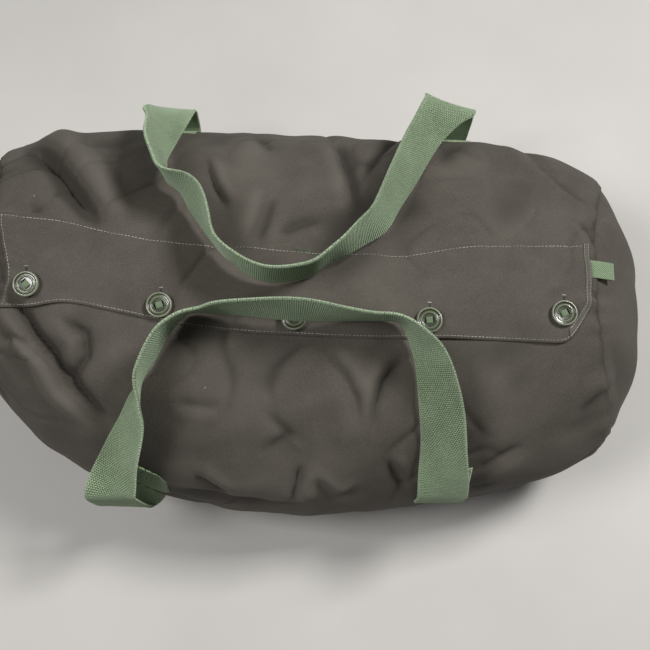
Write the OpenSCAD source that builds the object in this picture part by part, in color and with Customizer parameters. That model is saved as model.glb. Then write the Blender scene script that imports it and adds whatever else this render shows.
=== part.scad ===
// Canvas duffel bag lying on the floor: a barrel of canvas with two domed ends, a long buttoned
// flap over the mouth and two webbing carry handles thrown across the top.
// +X runs along the bag, +Y to the far side, +Z up. The origin is on the floor under the middle.

/* [Bag] */
// Length of the bag from dome to dome
bag_len = 734; // [610:1:881]
// How far a domed end stands out past the side wall
dome_out = 42; // [30:1:50]
// How far an end seam is drawn in at the top and underneath
seam_lean = 35; // [20:1:50]
// Width of the bag in the middle
bag_w = 424; // [350:1:510]
// Width of the bag at the end seams
end_w = 284; // [230:1:345]
// Height of the filled bag
bag_h = 238; // [198:1:286]
// Height at which the bag is widest in the middle
wide_h = 98; // [80:1:120]
// How much higher the widest level is at the ends
wide_rise = 24; // [0:1:40]
// How far both ends bend towards the far side
end_bow = 14; // [0:1:24]
// How far the right half leans over to the far side
side_lean = 9; // [0:1:14]
// How far the near side is drawn in at the left end
near_tuck = 32; // [0:1:40]
// Thickness of the canvas
canvas_t = 1.6; // [1:0.1:3]

/* [Mouth and flap] */
// Distance from the end of the mouth slot to the end of the flap
mouth_inset = 13; // [10:1:40]
// Width of the mouth slot
mouth_w = 34; // [20:0.5:44]
// How far the mouth, the flap and the button row bend towards the far side at the ends
mouth_bow = 25; // [0:1:26]
// Middle of the mouth, across the bag
mouth_y = -6; // [-12:1:4]
// Distance from the end of the flap to the end seam
flap_inset = 9; // [7:1:40]
// Line along which the flap folds, across the bag
fold_y = 22; // [18:1:24]
// Far edge of the sewn strip in the middle, across the bag
sewn_y = 28; // [26:1:40]
// Near edge of the flap in the middle, across the bag
flap_edge_y = -63; // [-75:1:-58]
// How much the near edge of the flap bends with the bag at its ends
flap_edge_bow = 12; // [0:1:22]
// Length of the cut corner of the flap, along the bag
corner_len = 20; // [10:1:30]
// Depth of the cut corner of the flap, across the bag
corner_dep = 30; // [0:1:36]
// Thickness of one layer of the flap
flap_t = 1.2; // [0.8:0.1:2]
// Width of the button stand under the near edge of the mouth
stand_w = 40; // [34:1:60]

/* [Buttons] */
// Diameter of a button
button_d = 25; // [20:0.5:30]
// Thickness of a button at its rim
button_t = 4; // [3:0.1:5]
// Distance from the outer buttons to the ends of the flap
button_inset = 23; // [21:1:60]
// Middle of the button row along the bag
button_x = -4; // [-8:1:4]
// Button row in the middle, across the bag
button_y = -46; // [-50:1:-42]
// How much longer a buttonhole is than its button is wide
slit_ease = 2; // [1:0.5:4]
// Diameter of the tape's neck under a button
neck_d = 3; // [2:0.1:4]

/* [Handles] */
// Width of the webbing
web_w = 50; // [40:1:60]
// Thickness of the webbing
web_t = 2.4; // [1.6:0.1:3]
// Distance of the sewn handle ends from the middle, along the bag
end_x = 155; // [130:1:180]
// Height of the crease where the webbing leaves its sewn end
crease_h = 130; // [115:1:140]
// Length of webbing that is sewn to the side
sewn_len = 38; // [25:1:50]
// Mean radius of the turns under a handle's two sewn ends
turn_r = 6.5; // [5.5:0.5:10]
// Height of the loose webbing between its two fold lines
link_h = 16; // [10:1:22]
// Slant of the near handle's fold lines, out towards the left end, in degrees
near_slant = 3; // [0:0.5:3]

/* [Tab] */
// Width of the pull tab
tab_w = 18; // [12:1:24]
// Length of the pull tab past its fold line
tab_len = 19; // [10:1:24]
// Droop of the pull tab, in degrees
tab_droop = 14; // [0:1:25]
// How far the pull tab sits to the far side of the end of the mouth
tab_off = 3; // [0:1:6]

/* [Clearances] */
// Gap between sewn layers
sew_gap = 0.3; // [0.2:0.05:0.5]
// Gap under the flap
flap_gap = 3.2; // [2.4:0.1:5]

/* [Hidden] */

canvas_col = "#57514c";
inside_col = "#4a4541";
web_col = "#5d7a4f";
button_col = "#4a5a3c";
tab_col = "#86a878";

// Length of the side wall at mid height and along the top, of the flap and of the mouth
side_len = bag_len - 2 * dome_out;
top_len = side_len - 2 * seam_lean;
flap_len = top_len - 2 * flap_inset;
mouth_len = flap_len - 2 * mouth_inset;
button_pitch = (flap_len - 2 * button_inset) / 4;

// Grid of the canvas shell: steps along the bag, and angles round it, closer over the crown
steps_long = 26;
crown_from = 45;
crown_to = 135;
crown_step = 4.5;
round_step = 9;
angles = concat(
    [for (a = [crown_from:crown_step:crown_to - crown_step]) a],
    [for (a = [crown_to:round_step:360 + crown_from - round_step]) a]
);
steps_round = len(angles);
// Powers that square off the side, the crown and the flattened underside
side_pow = 0.9;
crown_pow = 0.95;
under_pow = 0.72;
// How far the underside is pressed flat below its own curve
press = 5;
// How fast the width falls off: a gentle waist and the gathering at the end seam
waist = 0.15;
// Makes the lean of the right half 1 at its greatest
lean_peak = 6.75;
// Height of the middle of the domed end, and the roundness of the dome
dome_h = 118;
dome_pow = 2.4;

// Heights of the flap's upper layer and of its top face above the canvas
flap_d = flap_gap + flap_t + sew_gap;
flap_top = flap_d + flap_t;

// Rim, dish, inner ring and cut edges of a button, and the turn of each button on its tape
rim_w = 3;
dish = 1.4;
ring_w = 2;
ring_h = 0.5;
edge_cut = 1.2;
button_turns = [-45, 22, 35, 6, 26];
// Slots of a button, and the tape that runs through them to a foot under the button
slot_gap = 5;
slot_w = 2;
slot_len = 6;
tape_t = 1.2;
tape_w = 5;
tape_play = 0.1;
foot_t = 0.8;
button_d0 = flap_top + 2 * sew_gap + foot_t;
slit_play = 0.8;
slit_w = neck_d + slit_play;
slit_len = button_d + slit_ease;

// Tape bound round the turned-in edges of an end seam
bind_w = 10;
bind_t = 3;

// Rolled edge of the webbing on a fold line: fuller than the webbing, and short of its selvedges
roll_fuller = 0.2;
roll_short = 0.5;
hinge_r = web_t / 2 + roll_fuller;
// Fold lines of the handles, and how the loose legs lean in above them
fold_rise = 4;
fold_z = crease_h + fold_rise;
lift_z = fold_z + link_h;
leg_bend = 150;
leg_ups = [0, 6, 14];
// Loose legs lie nearer the left end than their sewn ends do, as [left, right] for each handle
leg_shift = [[-2, 0], [-22, -4]];

// Pull tab: thickness, swelling at its fold line, and the run of its sewn base
tab_t = 2;
tab_roll = 1.2;
tab_gap = 0.6;

// Plain helpers
function mix(a, b, t) = a + (b - a) * t;
function unit(v) = v / norm(v);
function spow(v, e) = v == 0 ? 0 : sign(v) * pow(abs(v), e);
function square_of(v) = v * v;

// Half width, widest level and bend of the bag at station s, from -1 at the left seam to 1 at the right.
// side_w is the half width on the side of the middle line that y is on.
function half_w(s) = bag_w / 2 * (1 - waist * s * s)
    - (bag_w / 2 * (1 - waist) - end_w / 2) * pow(abs(s), 6);
function wide_z(s) = wide_h + wide_rise * s * s;
function side_w(s, y) = half_w(s) - (y < 0 && s < 0 ? near_tuck * pow(-s, 3) : 0);
function bow(s) = end_bow * s * s + (s > 0 ? side_lean * lean_peak * s * s * (1 - s) : 0);
function mouth_bend(x) = mouth_bow * square_of(x / (top_len / 2));

// Half length of the side wall at angle a round the bag: longest at the sides, drawn in above and below
function seam_x(a) = side_len / 2
    - (side_len - top_len) / 2 * square_of(sin(a));

// Point of the canvas at station s and angle a (0 far side, 90 top, 180 near side), d outside its face
function skin(s, a, d = 0) =
    let (m = wide_z(s), n = sin(a))
    [
        s * seam_x(a),
        bow(s) + (side_w(s, cos(a)) + d) * spow(cos(a), side_pow),
        max(-d, n >= 0 ? m + (bag_h - m + d) * pow(n, crown_pow)
                       : m - (m + press + d) * pow(-n, under_pow))
    ];

// Angle at which the canvas at station s lies y across the bag, on its upper half
function angle_at(s, y, d = 0) =
    let (off = y - bow(s))
    acos(spow(off / (side_w(s, off) + d), 1 / side_pow));
function on_top(s, y, d = 0) = skin(s, angle_at(s, y, d), d);
function crown(x, y) = on_top(x / (top_len / 2), y)[2];

// Point of the domed end at share r of its radius
function dome(side, r, a, d = 0) =
    let (rim = skin(side, a, d), tip = bag_len / 2 + d)
    [
        side * (tip - (tip - abs(rim[0]) - sew_gap) * pow(r, dome_pow)),
        mix(bow(side), rim[1], r),
        mix(dome_h, rim[2], r)
    ];

// Closed solid between an outer and an inner grid of points, rows of equal length
module sheet(outer, inner, closed = false) {
    rows = len(outer);
    cols = len(outer[0]);
    last = closed ? cols : cols - 1;
    size = rows * cols;
    points = [for (g = [outer, inner]) for (row = g) for (p = row) p];
    function at(k, i, j) = k * size + i * cols + j % cols;
    faces = concat(
        [for (i = [0:rows - 2]) for (j = [0:last - 1]) each [
            [at(0, i, j), at(0, i + 1, j), at(0, i + 1, j + 1)],
            [at(0, i, j), at(0, i + 1, j + 1), at(0, i, j + 1)],
            [at(1, i, j), at(1, i + 1, j + 1), at(1, i + 1, j)],
            [at(1, i, j), at(1, i, j + 1), at(1, i + 1, j + 1)]
        ]],
        [for (j = [0:last - 1]) each [
            [at(0, 0, j), at(0, 0, j + 1), at(1, 0, j + 1)],
            [at(0, 0, j), at(1, 0, j + 1), at(1, 0, j)],
            [at(0, rows - 1, j), at(1, rows - 1, j + 1), at(0, rows - 1, j + 1)],
            [at(0, rows - 1, j), at(1, rows - 1, j), at(1, rows - 1, j + 1)]
        ]],
        closed ? [] : [for (i = [0:rows - 2]) each [
            [at(0, i, 0), at(1, i + 1, 0), at(0, i + 1, 0)],
            [at(0, i, 0), at(1, i, 0), at(1, i + 1, 0)],
            [at(0, i, last), at(0, i + 1, last), at(1, i + 1, last)],
            [at(0, i, last), at(1, i + 1, last), at(1, i, last)]
        ]]
    );
    polyhedron(points, faces, convexity = 12);
}

// Flat strip of width w carried along a path: each station is [middle, direction of the width]
module strip(stations, w, t) {
    n = len(stations);
    function along(i) = unit(stations[min(i + 1, n - 1)][0] - stations[max(i - 1, 0)][0]);
    function across(i) = unit(stations[i][1] - along(i) * (stations[i][1] * along(i)));
    function corner(i, u, v) =
        stations[i][0] + across(i) * w / 2 * u + unit(cross(along(i), across(i))) * t / 2 * v;
    sheet(
        [for (i = [0:n - 1]) [for (u = [-1, 0, 1]) corner(i, u, -1)]],
        [for (i = [0:n - 1]) [for (u = [-1, 0, 1]) corner(i, u, 1)]]
    );
}

// Smooth curve through a list of stations
function spline(p, i, t) =
    let (n = len(p) - 1, a = p[max(i - 1, 0)], b = p[i], c = p[min(i + 1, n)], d = p[min(i + 2, n)])
    b + (c - a) * (t / 2) + (a * 2 - b * 5 + c * 4 - d) * (t * t / 2)
        + (b * 3 - a - c * 3 + d) * (t * t * t / 2);
function smooth(p, cuts) = concat(
    [for (i = [0:len(p) - 2]) for (k = [0:cuts - 1]) spline(p, i, k / cuts)], [p[len(p) - 1]]);

// Canvas shell
function shell_rows(d) = [for (i = [0:steps_long]) let (s = mix(-1, 1, i / steps_long))
    [for (a = angles) skin(s, a, d)]];

// Middle line of the mouth at x, and the slot between its two edges
function mouth_mid(x) = mouth_y + mouth_bend(x);
module mouth_slot() {
    xs = [for (k = [0:16]) mix(-mouth_len / 2, mouth_len / 2, k / 16)];
    translate([0, 0, bag_h - 40])
        linear_extrude(80)
            polygon(concat(
                [for (x = xs) [x, mouth_mid(x) - mouth_w / 2]],
                [for (k = [16:-1:0]) [xs[k], mouth_mid(xs[k]) + mouth_w / 2]]
            ));
}

module body_panel() {
    color(canvas_col)
        difference() {
            sheet(shell_rows(0), shell_rows(-canvas_t), closed = true);
            mouth_slot();
        }
}

// Domed end: rings from the seam to the middle of the dome
module end_panel(side) {
    radii = [1, 0.9, 0.76, 0.6, 0.42, 0.22];
    n = steps_round;
    rows = len(radii);
    size = rows * n + 1;
    function at(k, i, j) = k * size + i * n + j % n;
    function pole(k) = k * size + size - 1;
    points = [for (d = [0, -canvas_t]) each concat(
        [for (r = radii) for (j = [0:n - 1]) dome(side, r, angles[side > 0 ? j : n - 1 - j], d)],
        [dome(side, 0, 0, d)]
    )];
    faces = concat(
        [for (i = [0:rows - 2]) for (j = [0:n - 1]) each [
            [at(0, i, j), at(0, i + 1, j), at(0, i + 1, j + 1)],
            [at(0, i, j), at(0, i + 1, j + 1), at(0, i, j + 1)],
            [at(1, i, j), at(1, i + 1, j + 1), at(1, i + 1, j)],
            [at(1, i, j), at(1, i, j + 1), at(1, i + 1, j + 1)]
        ]],
        [for (j = [0:n - 1]) each [
            [at(0, 0, j), at(0, 0, j + 1), at(1, 0, j + 1)],
            [at(0, 0, j), at(1, 0, j + 1), at(1, 0, j)]
        ]],
        [for (j = [0:n - 1]) each [
            [at(0, rows - 1, j), pole(0), at(0, rows - 1, j + 1)],
            [at(1, rows - 1, j), at(1, rows - 1, j + 1), pole(1)]
        ]]
    );
    color(canvas_col) polyhedron(points, faces, convexity = 8);
}

// Tape bound round the turned-in edges of an end seam
module end_binding(side) {
    deep = canvas_t + sew_gap;
    function ring(d, x) = [for (a = angles) skin(side, a, -d) - [side * x, 0, 0]];
    function pair(d) = side > 0
        ? [ring(d, bind_t + sew_gap), ring(d, sew_gap)]
        : [ring(d, sew_gap), ring(d, bind_t + sew_gap)];
    color(web_col)
        sheet(pair(deep), pair(deep + bind_w), closed = true);
}

// Long strip on the crown between two lines across the bag, from d to d + t above the canvas
module crown_strip(x0, x1, lines, d, t, cuts = 24) {
    function row(x, o) = [for (y = lines(x)) on_top(x / (top_len / 2), y, o)];
    function rows(o) = [for (i = [0:cuts]) row(mix(x0, x1, i / cuts), o)];
    sheet(rows(d + t), rows(d));
}

// Strip that carries the buttons, inside the near edge of the mouth
module button_stand() {
    lines = function(x) [for (k = [0:3]) mouth_mid(x) - mouth_w / 2 - stand_w * k / 3];
    color(inside_col)
        crown_strip(-mouth_len / 2, mouth_len / 2, lines, -canvas_t - sew_gap - flap_t, flap_t);
}

// Near edge of the flap at x, with the cut corner at its right end
function flap_edge(x) =
    let (s = x / (top_len / 2), over = max(0, x - flap_len / 2 + corner_len))
    flap_edge_y + flap_edge_bow * s * s + over * corner_dep / corner_len;
function flap_sewn(x) = sewn_y + mouth_bend(x);

module flap_layer(d) {
    lines = function(x) [for (k = [0:5]) mix(fold_y - sew_gap, flap_edge(x), k / 5)];
    difference() {
        crown_strip(-flap_len / 2, flap_len / 2, lines, d, flap_t, 40);
        for (k = [0:4])
            slit(k);
    }
}

// Part of the flap that is sewn down along its far edge
module flap_sewn_edge() {
    lines = function(x) [for (k = [0:2]) mix(flap_sewn(x), fold_y + sew_gap, k / 2)];
    color(canvas_col)
        crown_strip(-flap_len / 2, flap_len / 2, lines, sew_gap, flap_top - sew_gap, 28);
}

module closure_flap() {
    color(canvas_col) flap_layer(flap_d);
}

module flap_facing() {
    color(inside_col) flap_layer(flap_gap);
}

// Place of button k: its seat on the canvas and the tilt of the crown there
function button_at(k) =
    let (x = button_x + (k - 2) * button_pitch, s = x / (top_len / 2))
    on_top(s, button_y + mouth_bend(x));
function button_tilt(k) =
    let (x = button_x + (k - 2) * button_pitch, s = x / (top_len / 2), y = button_y + mouth_bend(x))
    atan2(on_top(s, y + 5)[2] - on_top(s, y - 5)[2], 10);

module at_button(k) {
    translate(button_at(k))
        rotate([button_tilt(k), 0, 0])
            children();
}

// Buttonhole across the flap, its near end round the neck of the tape
module slit(k) {
    at_button(k)
        translate([-slit_w / 2, -slit_w / 2, -flap_top])
            cube([slit_w, slit_len, 4 * flap_top]);
}

// Round button with a raised rim, a dished middle and two slots for the tape
module button(k) {
    r = button_d / 2;
    low = button_t - dish;
    color(button_col)
        at_button(k)
            translate([0, 0, button_d0])
                rotate([0, 0, button_turns[k]])
                    difference() {
                        rotate_extrude($fn = 64)
                            polygon([
                                [0, 0], [r - edge_cut, 0], [r, edge_cut],
                                [r, button_t - edge_cut], [r - edge_cut, button_t],
                                [r - rim_w + ring_h, button_t], [r - rim_w, low],
                                [r / 2 + ring_w / 2, low], [r / 2, low + ring_h],
                                [r / 2 - ring_w / 2, low], [0, low]
                            ]);
                        for (side = [-1, 1])
                            translate([side * slot_gap / 2 - slot_w / 2, -slot_len / 2, -1])
                                cube([slot_w, slot_len, button_t + 2]);
                    }
}

// Tape through the slots of a button, drawn into a round neck that is sewn to the bag
module button_tape(k) {
    leg = slot_gap / 2;
    low = button_t - dish + tape_play;
    color(web_col)
        at_button(k) {
            translate([0, 0, sew_gap])
                cylinder(h = button_d0 - 2 * sew_gap - foot_t, d = neck_d, $fn = 32);
            translate([0, 0, button_d0])
                rotate([0, 0, button_turns[k]]) {
                    translate([-leg - tape_t / 2, -tape_w / 2, low])
                        cube([2 * leg + tape_t, tape_w, tape_t]);
                    for (side = [-1, 1])
                        translate([side * leg - tape_t / 2, -tape_w / 2, -sew_gap - foot_t])
                            cube([tape_t, tape_w, low + sew_gap + foot_t + tape_t]);
                    translate([-leg - tape_t / 2, -tape_w / 2, -sew_gap - foot_t])
                        cube([2 * leg + tape_t, tape_w, foot_t]);
                }
        }
}

// Angle round the bag of height z on the side at station s, and the side's point there
function side_angle(s, z) = asin(pow((z - wide_z(s)) / (bag_h - wide_z(s)), 1 / crown_pow));
function side_point(s, far, z, d) =
    let (a = side_angle(s, z))
    skin(s, far > 0 ? a : 180 - a, d);
function end_s(lr) = lr * end_x / (side_len / 2);

// Fold line of a handle's two legs: in the middle of the bag, its slant, and its place across at x
function hinge_mid(far) =
    let (ends = [for (lr = [-1, 1]) side_point(end_s(lr), far, crease_h, sew_gap + web_t / 2)[1]])
    (ends[0] + ends[1]) / 2 + far * 2 * turn_r;
function fold_slant(far) = far > 0 ? 0 : near_slant;
function hinge_y(far, x) = hinge_mid(far) + x * tan(fold_slant(far));
function leg_x(far, lr) = lr * end_x + leg_shift[far > 0 ? 0 : 1][lr > 0 ? 1 : 0];

// Sewn end of a handle: flat on the side, then turned outwards and up under its crease. The two faces
// are rows of points across the webbing, bag_side towards the bag and round the outside of the turn.
module handle_end(far, lr) {
    edges = [-1, 0, 1];
    side_d = [sew_gap, sew_gap + web_t];
    function station(u) = (lr * end_x + u * web_w / 2) / (side_len / 2);
    function sewn(face, u, k) =
        let (p = side_point(station(u), far, mix(crease_h + sewn_len, crease_h, k), side_d[face]))
        [lr * end_x + u * web_w / 2, p[1], p[2]];
    function turned(face, u, q) =
        let (low = side_point(station(u), far, crease_h, sew_gap + web_t / 2),
             r = abs(hinge_y(far, leg_x(far, lr) + u * web_w / 2) - low[1]) / 2,
             rim = r + (face == 0 ? 1 : -1) * web_t / 2)
        [
            mix(lr * end_x, leg_x(far, lr), q / 180) + u * web_w / 2,
            low[1] + far * (r - rim * cos(q)),
            low[2] - rim * sin(q)
        ];
    function top(face, u) = [
        leg_x(far, lr) + u * web_w / 2,
        hinge_y(far, leg_x(far, lr) + u * web_w / 2) + (face == 0 ? 1 : -1) * far * web_t / 2,
        fold_z - hinge_r - sew_gap
    ];
    function rows(face) = concat(
        [for (k = [0:0.25:1]) [for (u = edges) sewn(face, u, k)]],
        [for (q = [22.5:22.5:180]) [for (u = edges) turned(face, u, q)]],
        [[for (u = edges) top(face, u)]]
    );
    color(web_col)
        sheet(rows(far > 0 ? 1 : 0), rows(far > 0 ? 0 : 1));
}

// Round edge of the webbing on a fold line
module fold_edge(x, far, z) {
    translate([x, hinge_y(far, x), z])
        rotate([0, 90, fold_slant(far)])
            cylinder(h = web_w - 2 * roll_short, r = hinge_r, center = true, $fn = 32);
}

// Short length of webbing between the two fold lines of a handle
module handle_fold(far, lr) {
    x = leg_x(far, lr);
    color(web_col) {
        fold_edge(x, far, fold_z);
        translate([x, hinge_y(far, x), fold_z])
            rotate([0, 0, fold_slant(far)])
                translate([-web_w / 2, -web_t / 2, 0])
                    cube([web_w, web_t, link_h - hinge_r - sew_gap]);
    }
}

// Route of a handle over the bag, from left to right. Each row holds the place along the bag as a share
// of end_x, the place across as a share of the half width, the lift off the crown and the direction in
// which the webbing's upper edge points.
near_route = [
    [-1.067, -0.857, 21.9, [0.74, 0.09, 0.67]],
    [-0.978, -0.737, 8.5, [0.59, -0.2, 0.78]],
    [-0.919, -0.6, 11.9, [0.19, 0.49, 0.85]],
    [-0.912, -0.527, 11.3, [-0.07, -0.33, 0.94]],
    [-0.824, -0.383, 11.5, [-0.06, -0.01, 1]],
    [-0.783, -0.335, 10.8, [0.07, -0.11, 0.99]],
    [-0.677, -0.268, 15.5, [-0.15, -0.46, 0.87]],
    [-0.548, -0.244, 9, [-0.02, -0.17, 0.99]],
    [-0.37, -0.236, 12.5, [-0.01, -0.08, 1]],
    [-0.002, -0.235, 15.5, [-0.05, 0.11, 0.99]],
    [0.247, -0.238, 11.3, [0.03, -0.06, 1]],
    [0.477, -0.237, 9.7, [-0.21, -0.21, 0.95]],
    [0.618, -0.237, 11.7, [-0.14, -0.21, 0.97]],
    [0.714, -0.292, 9.3, [0.22, -0.15, 0.96]],
    [0.82, -0.398, 5.6, [0.46, 0.07, 0.89]],
    [0.898, -0.594, 7.8, [0.73, 0.02, 0.68]],
    [0.944, -0.784, 11.8, [0.79, -0.09, 0.61]]
];
far_route = [
    [-1.057, 0.88, 20.8, [-0.89, 0.31, 0.35]],
    [-1.002, 0.673, 9.1, [-0.27, 0.12, 0.96]],
    [-0.981, 0.552, 14.8, [-0.21, -0.27, 0.94]],
    [-0.902, 0.407, 15.8, [0.29, -0.52, 0.8]],
    [-0.703, 0.306, 13.4, [0.35, 0.08, 0.93]],
    [-0.546, 0.107, 8.9, [0.09, -0.16, 0.98]],
    [-0.439, 0.005, 15.2, [-0.15, -0.03, 0.99]],
    [-0.216, -0.076, 12.3, [0.01, -0.09, 1]],
    [0.054, -0.04, 9.7, [-0.01, -0.11, 0.99]],
    [0.168, 0.028, 11.8, [0, -0.22, 0.98]],
    [0.252, 0.071, 12.1, [-0.02, 0, 1]],
    [0.38, 0.164, 9.6, [-0.21, 0.03, 0.98]],
    [0.473, 0.232, 8.7, [-0.41, -0.02, 0.91]],
    [0.542, 0.357, 9.2, [-0.4, -0.05, 0.91]],
    [0.637, 0.532, 7.5, [-0.5, 0.05, 0.86]],
    [0.758, 0.75, 16, [-0.6, -0.05, 0.79]],
    [0.845, 0.9, 42, [-0.64, -0.17, 0.72]],
    [0.915, 0.985, 62, [-0.85, -0.2, 0.3]]
];

function on_route(row) =
    let (x = row[0] * end_x, y = row[1] * bag_w / 2, w = unit(row[3]))
    [[x, y, crown(x, y) + row[2] + web_t / 2 + web_w / 2 * abs(w[2])], w];
// Loose leg above its upper fold line, with the upper edge of the webbing to the right (1) or left (-1)
function leg_rows(far, lr, edge) =
    let (x = leg_x(far, lr), w = edge * [cos(fold_slant(far)), sin(fold_slant(far)), 0])
    [for (up = leg_ups) [[x, hinge_y(far, x) - far * up * up / leg_bend, lift_z + up], w]];
function reversed(list) = [for (i = [len(list) - 1:-1:0]) list[i]];

module handle(far, route, edge) {
    rows = concat(
        leg_rows(far, -1, edge),
        [for (row = route) on_route(row)],
        reversed(leg_rows(far, 1, edge))
    );
    middles = smooth([for (r = rows) r[0]], 2);
    widths = smooth([for (r = rows) r[1]], 2);
    color(web_col) {
        strip([for (i = [0:len(middles) - 1]) [middles[i], widths[i]]], web_w, web_t);
        for (lr = [-1, 1])
            fold_edge(leg_x(far, lr), far, lift_z);
    }
}

// Tape tab at the right end of the mouth: a sewn base and the part that lifts
tab_x = top_len / 2 - tab_gap;
tab_y = mouth_mid(flap_len / 2) + tab_off;
tab_z = crown(flap_len / 2, tab_y) + sew_gap + tab_t * tab_roll / 2;
module tab_base() {
    color(tab_col)
        translate([flap_len / 2 + tab_gap, tab_y - tab_w / 2, tab_z - tab_t / 2])
            cube([tab_x - flap_len / 2 - tab_gap - tab_t * tab_roll / 2 - sew_gap, tab_w, tab_t]);
}

module pull_tab() {
    color(tab_col)
        translate([tab_x, tab_y, tab_z])
            rotate([90, 0, 0])
                linear_extrude(tab_w, center = true) {
                    circle(d = tab_t * tab_roll, $fn = 32);
                    rotate(-tab_droop)
                        translate([0, -tab_t / 2])
                            square([tab_len, tab_t]);
                }
}

body_panel();
end_panel(-1);  // end_panel_left
end_panel(1);  // end_panel_right
end_binding(-1);  // end_binding_left
end_binding(1);  // end_binding_right
button_stand();
flap_sewn_edge();
closure_flap();
flap_facing();
button(0);  // button_1
button(1);  // button_2
button(2);  // button_3
button(3);  // button_4
button(4);  // button_5
button_tape(0);  // button_tape_1
button_tape(1);  // button_tape_2
button_tape(2);  // button_tape_3
button_tape(3);  // button_tape_4
button_tape(4);  // button_tape_5
handle_end(1, -1);  // far_handle_end_left
handle_end(1, 1);  // far_handle_end_right
handle_end(-1, -1);  // near_handle_end_left
handle_end(-1, 1);  // near_handle_end_right
handle_fold(1, -1);  // far_handle_fold_left
handle_fold(1, 1);  // far_handle_fold_right
handle_fold(-1, -1);  // near_handle_fold_left
handle_fold(-1, 1);  // near_handle_fold_right
handle(1, far_route, -1);  // far_handle
handle(-1, near_route, 1);  // near_handle
tab_base();
pull_tab();
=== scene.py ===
"""Canvas duffel bag lying filled on a pale floor.

The canvas is a lofted barrel with domed ends, sagging and folded by displacement. A long buttoned flap
lies over the mouth, and two webbing handles are thrown across the top. Sizes are in millimetres and
become metres when a mesh is made. +X runs along the bag, +Y to the far side, +Z up.
"""
import math

import bmesh
import bpy
import numpy as np
from mathutils import Matrix


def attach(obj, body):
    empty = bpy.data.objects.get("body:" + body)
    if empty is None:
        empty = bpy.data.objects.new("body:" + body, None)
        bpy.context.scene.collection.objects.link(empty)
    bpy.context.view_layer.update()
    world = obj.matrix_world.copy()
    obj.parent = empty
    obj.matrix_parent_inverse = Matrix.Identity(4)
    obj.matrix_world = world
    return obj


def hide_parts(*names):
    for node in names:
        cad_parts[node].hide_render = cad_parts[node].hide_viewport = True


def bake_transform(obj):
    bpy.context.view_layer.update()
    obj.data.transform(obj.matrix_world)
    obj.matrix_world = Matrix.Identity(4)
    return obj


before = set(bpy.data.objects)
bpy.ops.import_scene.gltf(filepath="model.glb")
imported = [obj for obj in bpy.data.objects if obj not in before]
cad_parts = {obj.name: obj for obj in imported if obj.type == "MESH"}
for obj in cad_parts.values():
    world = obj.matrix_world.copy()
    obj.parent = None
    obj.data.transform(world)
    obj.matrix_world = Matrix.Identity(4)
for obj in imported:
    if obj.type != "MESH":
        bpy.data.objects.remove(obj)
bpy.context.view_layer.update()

MM = 0.001

# Sizes of the part, as its source has them
BAG_LEN, SIDE_LEN, TOP_LEN = 734.0, 650.0, 580.0
BAG_W, END_W, BAG_H = 424.0, 284.0, 238.0
WIDE_H, WIDE_RISE, END_BOW = 98.0, 24.0, 14.0
SIDE_LEAN, LEAN_PEAK, NEAR_TUCK = 9.0, 6.75, 32.0
GATHER_POW, TUCK_POW = 6, 3
SIDE_POW, CROWN_POW, UNDER_POW = 0.9, 0.95, 0.72
PRESS, WAIST, DOME_H, DOME_POW = 5.0, 0.15, 118.0, 2.4
CANVAS_T, SEW_GAP = 1.6, 0.3
MOUTH_LEN, MOUTH_W, MOUTH_BOW, MOUTH_Y = 536.0, 34.0, 25.0, -6.0
FLAP_TOP, STAND_W = 5.9, 40.0
BUTTON_D, BUTTON_T, BUTTON_PITCH, BUTTON_X, BUTTON_Y = 25.0, 4.0, 129.0, -4.0, -46.0
BUTTON_D0, BUTTON_TURNS = 7.3, (-45.0, 22.0, 35.0, 6.0, 26.0)
SLIT_LEN = 27.0
WEB_W, WEB_T, END_X, CREASE_H, SEWN_LEN = 50.0, 2.4, 155.0, 130.0, 38.0
FOLD_Z, LIFT_Z, LEG_BEND = 134.0, 150.0, 150.0
LINK_MID = (FOLD_Z + LIFT_Z) / 2
LEG_SHIFT = {1: {-1: -2.0, 1: 0.0}, -1: {-1: -22.0, 1: -4.0}}
HINGE_Y = {1: 222.5496, -1: -207.2432}
HINGE_SLANT = {1: 0.0, -1: math.radians(3)}
TAB_W, TAB_X, TAB_Y, TAB_Z, TAB_DROOP = 18.0, 289.4, 20.472, 239.463, 14.0

# Sizes of the looks
HALF_SIDE, HALF_TOP = SIDE_LEN / 2, TOP_LEN / 2
ROUND_LEN = 1040.0  # length of canvas round the bag
LEFT_LEAN = 18.0  # how far the far left corner is pulled out
FLOOR_GAP = 0.05  # least height of the canvas over the floor
WEFT = 2.6  # pitch of the webbing's selvedge loops

FAR, NEAR, LEFT, RIGHT = 1, -1, -1, 1
SIDE_NAME, END_NAME = {FAR: "far", NEAR: "near"}, {LEFT: "left", RIGHT: "right"}


# ---- plain helpers
def spow(v, e):
    """Power that keeps the sign."""
    return np.sign(v) * np.abs(v) ** e


def slope(low, high, v):
    """Straight step from 0 at low to 1 at high."""
    return np.clip((v - low) / (high - low), 0, 1)


def ramp(low, high, v):
    """Smooth step from 0 at low to 1 at high."""
    t = slope(low, high, v)
    return t * t * (3 - 2 * t)


def hill(v, middle, width):
    """Bell curve of height 1."""
    return np.exp(-(((v - middle) / width) ** 2))


def mix(a, b, t):
    return a + (b - a) * t


def unit(v):
    return v / np.maximum(np.linalg.norm(v, axis=-1, keepdims=True), 1e-12)


def stacked(*parts):
    """Arrays spread to one shape, side by side in a last axis."""
    return np.stack(np.broadcast_arrays(*parts), -1)


def run_of(points):
    """Length of a path up to each of its points."""
    return np.concatenate([[0], np.cumsum(np.linalg.norm(np.diff(points, axis=0), axis=1))])


def curve_through(points, at):
    """Line through points (x, y): straight pieces, rounded by a moving average."""
    points = np.array(points, float)
    spread = np.linspace(-12, 12, 13)
    return np.mean([np.interp(at + d, points[:, 0], points[:, 1]) for d in spread], axis=0)


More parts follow.
